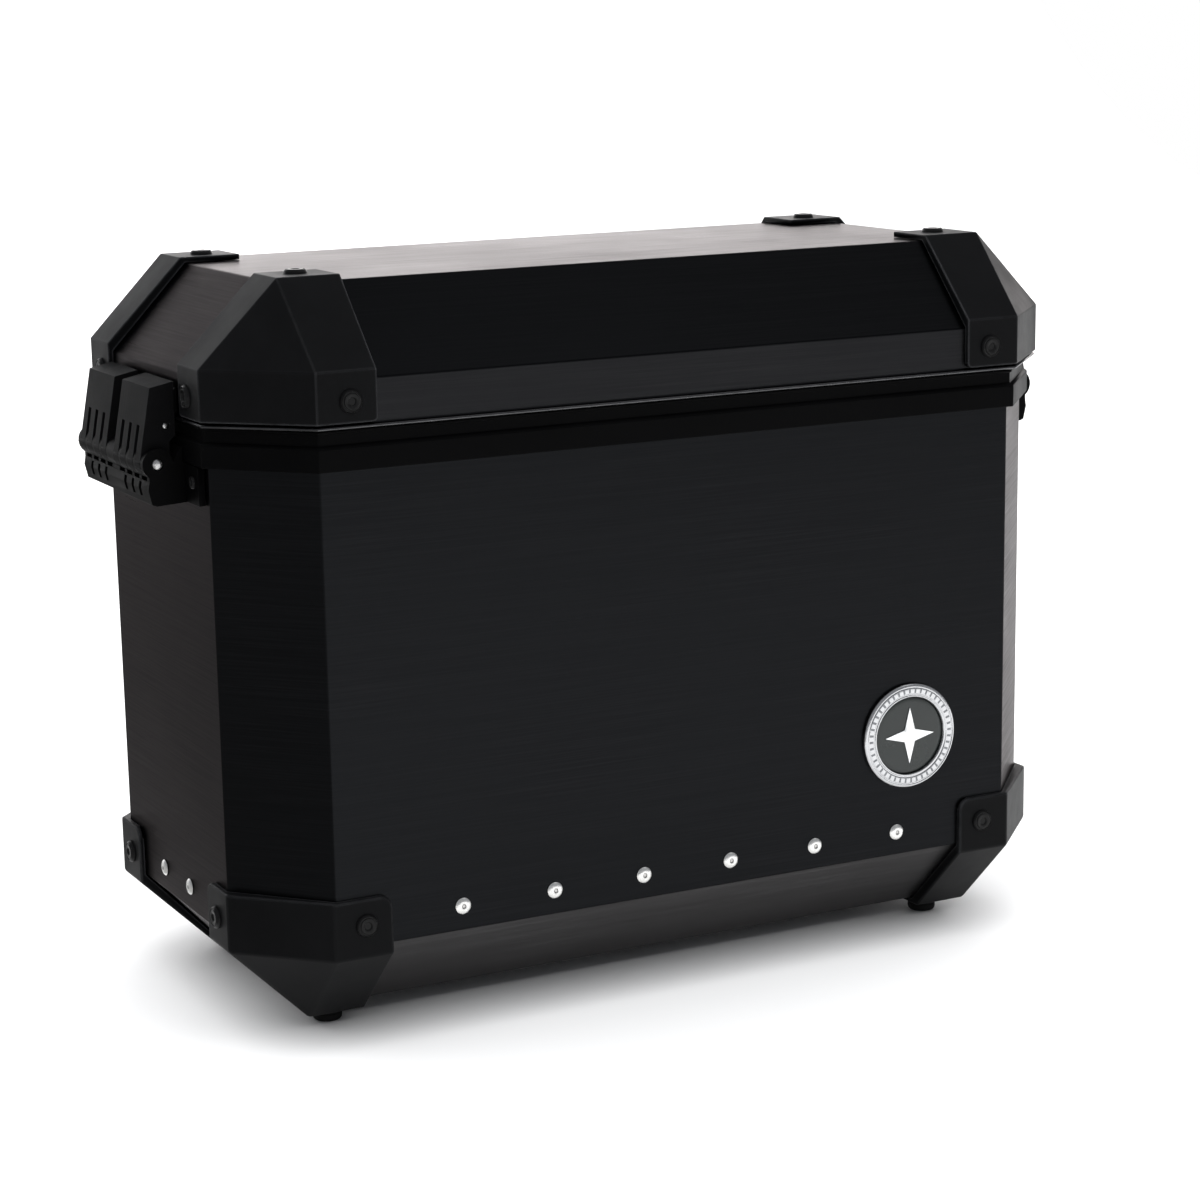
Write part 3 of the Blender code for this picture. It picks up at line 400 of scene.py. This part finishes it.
def refined(node, material, radius, body, segments=3, accents=()):
    """A CAD node again, sewn together, with its long sharp edges rounded.

    accents holds (material, test of a face) pairs for faces with a finish of their own.
    """
    shape = bmesh.new()
    shape.from_mesh(frame["nodes"][node].data)
    bmesh.ops.remove_doubles(shape, verts=shape.verts, dist=0.002 * MM)
    bmesh.ops.dissolve_limit(shape, angle_limit=FLAT_ANGLE, verts=shape.verts, edges=shape.edges)
    if radius:
        sharp = [edge for edge in shape.edges if edge.calc_face_angle(0.0) > ROUND_ANGLE
                 and edge.calc_length() > SHORTEST_EDGE]
        bmesh.ops.bevel(shape, geom=sharp, offset=radius, segments=segments, profile=0.5,
                        affect="EDGES", clamp_overlap=True)
    bmesh.ops.recalc_face_normals(shape, faces=shape.faces)
    for face in shape.faces:
        face.material_index = 0
        for index, (_, belongs) in enumerate(accents, start=1):
            if belongs(face):
                face.material_index = index
    finishes = [material] + [accent for accent, _ in accents]
    piece = finish_piece(f"{node}_skin", shape, finishes, body, replaces=[node])
    even = piece.modifiers.new("even_shading", "WEIGHTED_NORMAL")
    even.keep_sharp = True
    return piece


def axis_matrix(outward):
    """Turns local +Z to point outward."""
    return Vector(outward).to_track_quat("Z", "Y").to_matrix().to_4x4()


def in_metres(outline, base=0.0):
    """An outline given in millimetres, with its heights counted from base."""
    return [(radius * MM, base + height * MM) for radius, height in outline]


def turned(name, profile, centre, outward, segments, materials, body, replaces=(), marked=(),
           ring=False):
    """Turns (radius, height) points about an axis through centre.

    Marked bands take the second material. A ring is closed from its last point to its first, and
    anything else gets a flat face at each end.
    """
    shape = bmesh.new()
    turn = axis_matrix(outward)
    loops = []
    for radius, height in profile:
        loop = []
        for step in range(segments):
            angle = math.tau * step / segments
            point = turn @ Vector((radius * math.cos(angle), radius * math.sin(angle), height))
            loop.append(shape.verts.new(point))
        loops.append(loop)
    pairs = list(zip(loops, loops[1:]))
    if ring:
        pairs.append((loops[-1], loops[0]))
    for band, (lower, upper) in enumerate(pairs):
        for step in range(segments):
            after = (step + 1) % segments
            face = shape.faces.new((lower[step], lower[after], upper[after], upper[step]))
            face.material_index = 1 if band in marked else 0
    if not ring:
        shape.faces.new(loops[0]).material_index = 1 if marked else 0
        shape.faces.new(loops[-1])
    bmesh.ops.recalc_face_normals(shape, faces=shape.faces)
    return finish_piece(name, shape, materials, body, at=Vector(centre), replaces=replaces)


def face_centre(node, outward):
    """The middle of a node's box, moved to its outermost face."""
    low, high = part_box(node)
    centre, half, direction = (low + high) / 2, (high - low) / 2, Vector(outward)
    return centre + direction * half.dot(Vector(abs(item) for item in direction))


def depth_of(node, outward):
    """The size of a node's box along a direction."""
    low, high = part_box(node)
    return (high - low).dot(Vector(abs(item) for item in outward))


# The pieces ------------------------------------------------------------------------------------

def refine_case(mats):
    """Walls, pan, rim, lid, seal and guards."""
    refined("body_walls", mats["sheet"], FOLD_RADIUS, "case")
    refined("bottom_pan", mats["pan"], FOLD_RADIUS, "case")
    refined("rim_frame", mats["rim"], MOULD_RADIUS, "case")
    low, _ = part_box("lid_shell")
    hem_highlight_top = low.z + HEM_HIGHLIGHT_HEIGHT

    # Faces on the upright band take the lighter copy of the sheet, a painted sheen.
    def on_lit_band(face):
        return abs(face.normal.z) < LIT_BAND_TILT and face.calc_center_median().z > hem_highlight_top

    # Faces on the lid's lower edge take the paler metal, a painted highlight.
    def on_hem_highlight(face):
        return abs(face.normal.z) < HEM_HIGHLIGHT_TILT and face.calc_center_median().z < hem_highlight_top

    accents = [(mats["band"], on_lit_band), (mats["hem_highlight"], on_hem_highlight)]
    refined("lid_shell", mats["sheet"], FOLD_RADIUS, "lid", accents=accents)
    refined("lid_seal", mats["rubber"], MOULD_RADIUS, "lid")
    for corner, _, _ in CORNERS:
        refined(f"lid_guard_{corner}", mats["guard"], 0, "lid")
        refined(f"base_guard_{corner}", mats["guard"], 0, "case")


def refine_latches(mats):
    """Latch bases, keepers, levers and hooks."""
    for end, _ in ENDS:
        refined(f"latch_base_{end}", mats["rim"], MOULD_RADIUS, "case")
        refined(f"keeper_{end}", mats["dark_steel"], STAMP_RADIUS, "lid")
        for row, _ in ROWS:
            name = f"{end}_{row}"
            refined(f"lever_{name}", mats["lever"], MOULD_RADIUS, f"lever_{name}")
            refined(f"hook_{name}", mats["steel"], STAMP_RADIUS, f"hook_{name}")


def screw_profile(scale=1.0):
    """A button head with a round dish in the middle and a groove round it, sunk a little into the guard."""
    radius = SCREW_RADIUS * scale
    height = SCREW_HEIGHT * scale
    centre = (PINHOLE * MM, height * SCREW_OUTLINE[0][1])
    return [centre] + [(radius * across, height * up) for across, up in SCREW_OUTLINE]


def add_screw(name, centre, outward, body, mats, scale=1.0):
    """One screw head on a face, pointing outward."""
    turned(name, screw_profile(scale), centre, outward, SCREW_SEGMENTS, [mats["screw"]], body)


def guard_screws(mats):
    """Three screws in each lid guard and two in each lower guard."""
    for corner, side_x, side_y in CORNERS:
        low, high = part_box(f"lid_guard_{corner}")
        free = Vector((low.x if side_x > 0 else high.x, low.y if side_y > 0 else high.y, low.z))
        outer = Vector((high.x if side_x > 0 else low.x, high.y if side_y > 0 else low.y, high.z))
        level = low.z + LID_SCREW_RISE
        along_x = free.x + side_x * LID_SCREW_INSET[0]
        along_y = free.y + side_y * LID_SCREW_INSET[1]
        top = (free.x + side_x * LID_TOP_SCREW_INSET[0],
               free.y + side_y * LID_TOP_SCREW_INSET[1], outer.z)
        add_screw(f"screw_lid_long_{corner}", (along_x, outer.y, level), (0, side_y, 0), "lid", mats)
        add_screw(f"screw_lid_end_{corner}", (outer.x, along_y, level), (side_x, 0, 0), "lid", mats)
        add_screw(f"screw_lid_top_{corner}", top, (0, 0, 1), "lid", mats)

        low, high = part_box(f"base_guard_{corner}")
        free = Vector((low.x if side_x > 0 else high.x, low.y if side_y > 0 else high.y, high.z))
        outer = Vector((high.x if side_x > 0 else low.x, high.y if side_y > 0 else low.y, low.z))
        long_at = (free.x + side_x * BASE_SCREW_INSET[0], outer.y, high.z - BASE_SCREW_DROP[0])
        end_at = (outer.x, free.y + side_y * BASE_SCREW_INSET[1], high.z - BASE_SCREW_DROP[1])
        add_screw(f"screw_base_long_{corner}", long_at, (0, side_y, 0), "case", mats)
        add_screw(f"screw_base_end_{corner}", end_at, (side_x, 0, 0), "case", mats)


def wing_screws(mats):
    """Small screws through the wings of the latch bases."""
    for end, side in ENDS:
        low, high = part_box(f"latch_base_{end}")
        wall = low.x if side > 0 else high.x
        face = wall + side * WING_THICK
        level = (low.z + high.z) / 2 - WING_SCREW_DROP
        for row, way in ROWS:
            edge = high.y if way > 0 else low.y
            add_screw(f"screw_wing_{end}_{row}", (face, edge - way * WING_SCREW_INSET, level), (side, 0, 0),
                      "case", mats, WING_SCREW_SCALE)


def rivets(mats):
    """Domed blind rivets, each with the stub of its mandrel in a dimple."""
    rows = (("front", (0, -1, 0), 6), ("rear", (0, 1, 0), 6), ("left", (-1, 0, 0), 2),
            ("right", (1, 0, 0), 2))
    for face, outward, count in rows:
        for index in range(1, count + 1):
            node = f"rivet_{face}_{index}"
            profile = in_metres(RIVET_HEAD) + in_metres(RIVET_TAIL, -depth_of(node, outward))
            turned(f"{node}_dome", profile, face_centre(node, outward), outward, RIVET_SEGMENTS,
                   [mats["rivet"], mats["mandrel"]], "case", [node], marked=MANDREL_BANDS)


def feet(mats):
    """Rubber feet with a groove round them and a recess for their screw."""
    down = (0, 0, -1)
    for corner, _, _ in CORNERS:
        node = f"foot_{corner}"
        profile = in_metres(FOOT_OUTLINE) + [(FOOT_RADIUS * MM, -depth_of(node, down))]
        turned(f"{node}_moulding", profile, face_centre(node, down), down, FOOT_SEGMENTS,
               [mats["rubber"]], "case", [node])


def pucks(mats):
    """Rack pucks with a neck between two flanges."""
    back = (0, 1, 0)
    for level in ("lower", "upper"):
        for end, _ in ENDS:
            node = f"rack_puck_{level}_{end}"
            turned(f"{node}_turning", in_metres(PUCK_OUTLINE), face_centre(node, back), back,
                   PUCK_SEGMENTS, [mats["lever"]], "case", [node])


def pins(mats):
    """Hinge pins with a polished domed end each way, and the hooks' small pins."""
    along = (0, 1, 0)
    groups = [(f"latch_pin_{end}", "case") for end, _ in ENDS]
    groups += [(f"hook_pin_{end}_{row}", f"lever_{end}_{row}") for end, _ in ENDS for row, _ in ROWS]
    for node, body in groups:
        low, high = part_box(node)
        radius = (high.x - low.x) / 2
        length = high.y - low.y
        dome = []
        for angle in PIN_DOME_ANGLES:
            lean = math.radians(angle)
            dome.append((radius * math.sin(lean), radius * PIN_DOME_RISE * (math.cos(lean) - 1)))
        profile = dome + [(r, -length - h) for r, h in reversed(dome)]
        turned(f"{node}_turning", profile, face_centre(node, along), along, PIN_SEGMENTS, [mats["steel"]],
               body, [node])


def badge(mats):
    """Ring with a stepped face, an enamelled disc, and a four-pointed faceted star."""
    front = (0, -1, 0)
    centre = face_centre("badge_ring", front)
    turned("badge_ring_turning", in_metres(RING_OUTLINE), centre, front, BADGE_SEGMENTS, [mats["ring"]],
           "case", ["badge_ring"], ring=True)

    profile = in_metres(DISC_OUTLINE) + [(DISC_RADIUS * MM, -depth_of("badge_disc", front))]
    turned("badge_disc_enamel", profile, face_centre("badge_disc", front), front, BADGE_SEGMENTS,
           [mats["disc"]], "case", ["badge_disc"])

    low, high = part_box("badge_emblem")
    reach = (high.x - low.x) / 2
    thick = high.y - low.y
    corners = 2 * STAR_POINTS
    inward, outward = STAR_SHOULDER
    shape = bmesh.new()
    outline = []
    for step in range(corners):
        angle = math.tau * step / corners
        radius = reach * (1.0 if step % 2 == 0 else STAR_WAIST)
        outline.append((radius * math.cos(angle), radius * math.sin(angle)))
    foot = [shape.verts.new((u, thick, v)) for u, v in outline]
    shoulder = [shape.verts.new((u * inward, thick * outward, v * inward)) for u, v in outline]
    peak = shape.verts.new((0, -STAR_PEAK, 0))
    for step in range(corners):
        after = (step + 1) % corners
        shape.faces.new((foot[step], foot[after], shoulder[after], shoulder[step]))
        shape.faces.new((shoulder[step], shoulder[after], peak))
    shape.faces.new(foot)
    bmesh.ops.recalc_face_normals(shape, faces=shape.faces)
    at = Vector(((low.x + high.x) / 2, low.y, (low.z + high.z) / 2))
    finish_piece("badge_star", shape, [mats["emblem"]], "case", at=at,
                 replaces=["badge_emblem"])


# Studio ----------------------------------------------------------------------------------------

def make_camera(case_middle):
    """The camera, placed relative to the middle of the case's footprint."""
    forward = Vector((math.sin(CAMERA_AZIMUTH) * math.cos(CAMERA_ELEVATION),
                      math.cos(CAMERA_AZIMUTH) * math.cos(CAMERA_ELEVATION), -math.sin(CAMERA_ELEVATION)))
    level = Vector((math.cos(CAMERA_AZIMUTH), -math.sin(CAMERA_AZIMUTH), 0))
    upward = level.cross(forward)
    right = math.cos(CAMERA_ROLL) * level + math.sin(CAMERA_ROLL) * upward
    top = math.cos(CAMERA_ROLL) * upward - math.sin(CAMERA_ROLL) * level
    data = bpy.data.cameras.new("camera")
    data.lens = CAMERA_LENS
    data.shift_x, data.shift_y = CAMERA_SHIFT
    camera = bpy.data.objects.new("camera", data)
    bpy.context.scene.collection.objects.link(camera)
    turn = Matrix((right, top, -forward)).transposed().to_4x4()
    camera.matrix_world = Matrix.Translation(case_middle + CAMERA_FROM_CASE) @ turn
    bpy.context.scene.camera = camera


def soft_light(name, place, size, power, colour, in_reflections, target):
    """A rectangular light, unseen by the camera, that faces a target."""
    data = bpy.data.lights.new(name, "AREA")
    data.shape = "RECTANGLE"
    data.size, data.size_y = size
    data.energy = power
    data.color = colour
    light = bpy.data.objects.new(name, data)
    light.location = place
    light.rotation_euler = (Vector(target) - Vector(place)).to_track_quat("-Z", "Y").to_euler()
    light.visible_camera = False
    light.visible_glossy = in_reflections
    bpy.context.scene.collection.objects.link(light)


def stage_piece(name, shape, material, at=(0, 0, 0)):
    """Makes a bmesh into a smooth-shaded part of the studio."""
    mesh = bpy.data.meshes.new(name)
    shape.to_mesh(mesh)
    shape.free()
    mesh.shade_smooth()
    mesh.materials.append(material)
    piece = bpy.data.objects.new(name, mesh)
    piece.location = at
    bpy.context.scene.collection.objects.link(piece)
    return piece


def make_floor():
    """A level floor that sweeps up behind the object into a backdrop."""
    line = [(FLOOR_FRONT, 0.0)]
    for step in range(FLOOR_STEPS + 1):
        angle = math.radians(90 * step / FLOOR_STEPS)
        line.append((FLOOR_BACK + FLOOR_BEND * math.sin(angle), FLOOR_BEND * (1 - math.cos(angle))))
    line.append((FLOOR_BACK + FLOOR_BEND, FLOOR_TOP))
    shape = bmesh.new()
    pairs = [[shape.verts.new((side * FLOOR_SIDE, y, z)) for side in (-1, 1)] for y, z in line]
    for near, far in zip(pairs, pairs[1:]):
        shape.faces.new((near[0], near[1], far[1], far[0]))
    stage_piece("floor", shape, pale_floor())


def make_dark_mat():
    """A grey mat on the floor to the left, seen only in the object's own reflections."""
    glowing = bpy.data.materials.new("dark_mat")
    glowing.use_nodes = True
    tree = glowing.node_tree
    tree.nodes.clear()
    glow = tree.nodes.new("ShaderNodeEmission")
    glow.inputs["Color"].default_value = (MAT_GREY, MAT_GREY, MAT_GREY, 1)
    out = tree.nodes.new("ShaderNodeOutputMaterial")
    tree.links.new(glow.outputs["Emission"], out.inputs["Surface"])
    shape = bmesh.new()
    corners = [(-MAT_WIDTH, -MAT_DEPTH / 2), (0, -MAT_DEPTH / 2), (0, MAT_DEPTH / 2),
               (-MAT_WIDTH, MAT_DEPTH / 2)]
    shape.faces.new([shape.verts.new((x, y, 0)) for x, y in corners])
    mat = stage_piece("dark_mat", shape, glowing, MAT_PLACE)
    mat.visible_camera = False
    mat.visible_diffuse = False
    mat.visible_shadow = False


def make_world():
    """White to the camera, and a dim grey room to everything else."""
    world = bpy.data.worlds.new("studio")
    bpy.context.scene.world = world
    world.use_nodes = True
    tree = world.node_tree
    room = tree.nodes["Background"]
    room.inputs["Color"].default_value = (0.8, 0.82, 0.86, 1)
    room.inputs["Strength"].default_value = ROOM_STRENGTH
    white = tree.nodes.new("ShaderNodeBackground")
    white.inputs["Color"].default_value = (1, 1, 1, 1)
    path = tree.nodes.new("ShaderNodeLightPath")
    mixed = tree.nodes.new("ShaderNodeMixShader")
    tree.links.new(path.outputs["Is Camera Ray"], mixed.inputs["Fac"])
    tree.links.new(room.outputs["Background"], mixed.inputs[1])
    tree.links.new(white.outputs["Background"], mixed.inputs[2])
    tree.links.new(mixed.outputs["Shader"], tree.nodes["World Output"].inputs["Surface"])


def make_studio(case_middle):
    """World, floor, lights, plain colours and the camera."""
    make_world()
    make_floor()
    make_dark_mat()
    for light in LIGHTS:
        soft_light(*light, case_middle + Vector((0, 0, AIM_HEIGHT)))
    bpy.context.scene.view_settings.view_transform = "Standard"
    make_camera(case_middle)


for leftover in list(bpy.data.objects):
    bpy.data.objects.remove(leftover, do_unlink=True)
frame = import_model()
walls_low, walls_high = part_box("body_walls")
middle_of_case = Vector(((walls_low.x + walls_high.x) / 2, (walls_low.y + walls_high.y) / 2, 0))
materials = make_materials()
refine_case(materials)
refine_latches(materials)
guard_screws(materials)
wing_screws(materials)
rivets(materials)
feet(materials)
pucks(materials)
pins(materials)
badge(materials)
make_studio(middle_of_case)
